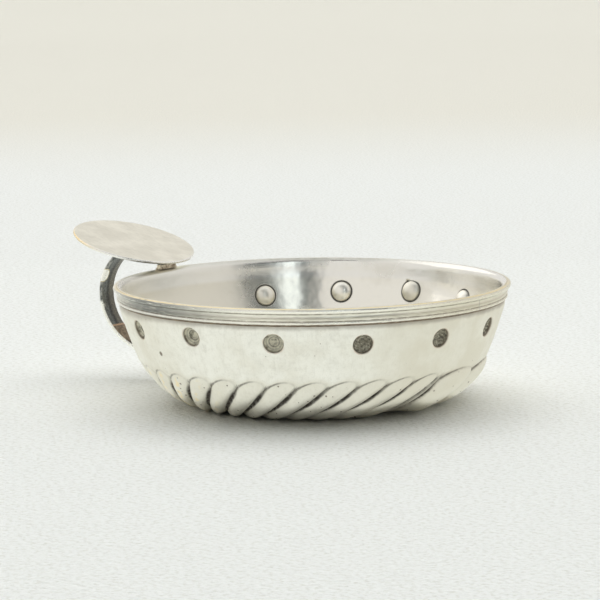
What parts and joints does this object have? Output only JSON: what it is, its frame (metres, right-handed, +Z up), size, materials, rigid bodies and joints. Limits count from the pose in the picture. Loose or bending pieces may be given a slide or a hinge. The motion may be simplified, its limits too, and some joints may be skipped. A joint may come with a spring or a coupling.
{
  "type": "tastevin",
  "caption": "Shallow round wine taster with spiral gadroons, punched dimples, a moulded rim, a finger ring and a flat round thumb rest.",
  "frame": {"origin": "middle of the flat underside, on the plane that the cup stands on", "axes": "+Z up along the bowl's axis, +X away from the handle"},
  "size_m": [0.1006, 0.08, 0.0327],
  "materials": {
    "bowl": "worn silver plate, satin outside and polished inside",
    "rim": "worn silver plate, yellow brass showing along the lip",
    "ring": "polished silver plate with tarnish",
    "rest": "satin silver plate, brass showing along the edge",
    "solder": "dull brown solder"
  },
  "bodies": {
    "root": {"bowl": "bowl", "rim_moulding": "rim", "rim_solder": "solder", "finger_ring": "ring", "foot_solder": "solder", "lip_solder": "solder", "thumb_rest": "rest", "thumb_rest_solder": "solder"}
  },
  "joints": []
}
